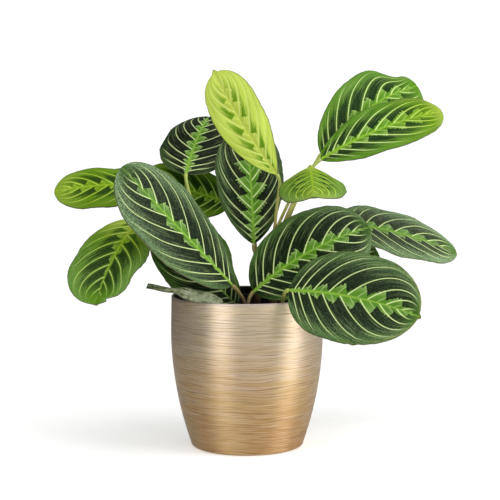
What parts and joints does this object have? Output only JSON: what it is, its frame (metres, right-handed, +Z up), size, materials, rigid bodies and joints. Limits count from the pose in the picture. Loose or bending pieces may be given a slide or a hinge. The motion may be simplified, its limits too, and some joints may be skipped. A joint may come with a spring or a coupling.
{
  "type": "potted prayer plant",
  "caption": "Prayer plant with lime-patterned dark green leaves in a black nursery pot, set in a round brushed brass cover pot with a small foot.",
  "frame": {"origin": "the middle of the cover pot's flat foot, on the surface it stands on", "axes": "+Z up, -Y toward the plant's best side, +X to the right when seen from that side"},
  "size_m": [0.357, 0.2598, 0.3242],
  "materials": {
    "cover_pot": "satin",
    "nursery_plastic": "matte",
    "soil": "matte",
    "stalk": "satin",
    "leaf_dark": "satin",
    "leaf_bright": "satin",
    "leaf_lemon": "satin",
    "leaf_pale": "satin"
  },
  "bodies": {
    "root": {"pot": "cover_pot", "nursery_pot": "nursery_plastic", "soil": "soil", "shoot_front": "stalk", "shoot_right_front": "stalk", "shoot_centre": "stalk", "shoot_left": "stalk", "shoot_right": "stalk", "shoot_back": "stalk", "shoot_back_right": "stalk", "shoot_back_left": "stalk", "leaf_lemon_top": "leaf_lemon", "leaf_upper_left": "leaf_dark", "leaf_lime_left": "leaf_bright", "leaf_front_left": "leaf_dark", "leaf_hanging_left": "leaf_bright", "leaf_centre": "leaf_dark", "leaf_back_top_right": "leaf_bright", "leaf_front_top_right": "leaf_bright", "leaf_small_right": "leaf_bright", "leaf_mid_right": "leaf_dark", "leaf_front_right": "leaf_dark", "leaf_far_right": "leaf_dark", "leaf_under_right": "leaf_dark", "leaf_low_left": "leaf_dark", "leaf_behind_left": "leaf_bright", "leaf_rim_left": "leaf_pale", "leaf_back_left": "leaf_bright", "leaf_back_centre": "leaf_dark", "leaf_back_right": "leaf_dark", "leaf_back_low_left": "leaf_dark", "leaf_back_low_right": "leaf_dark"}
  },
  "joints": []
}
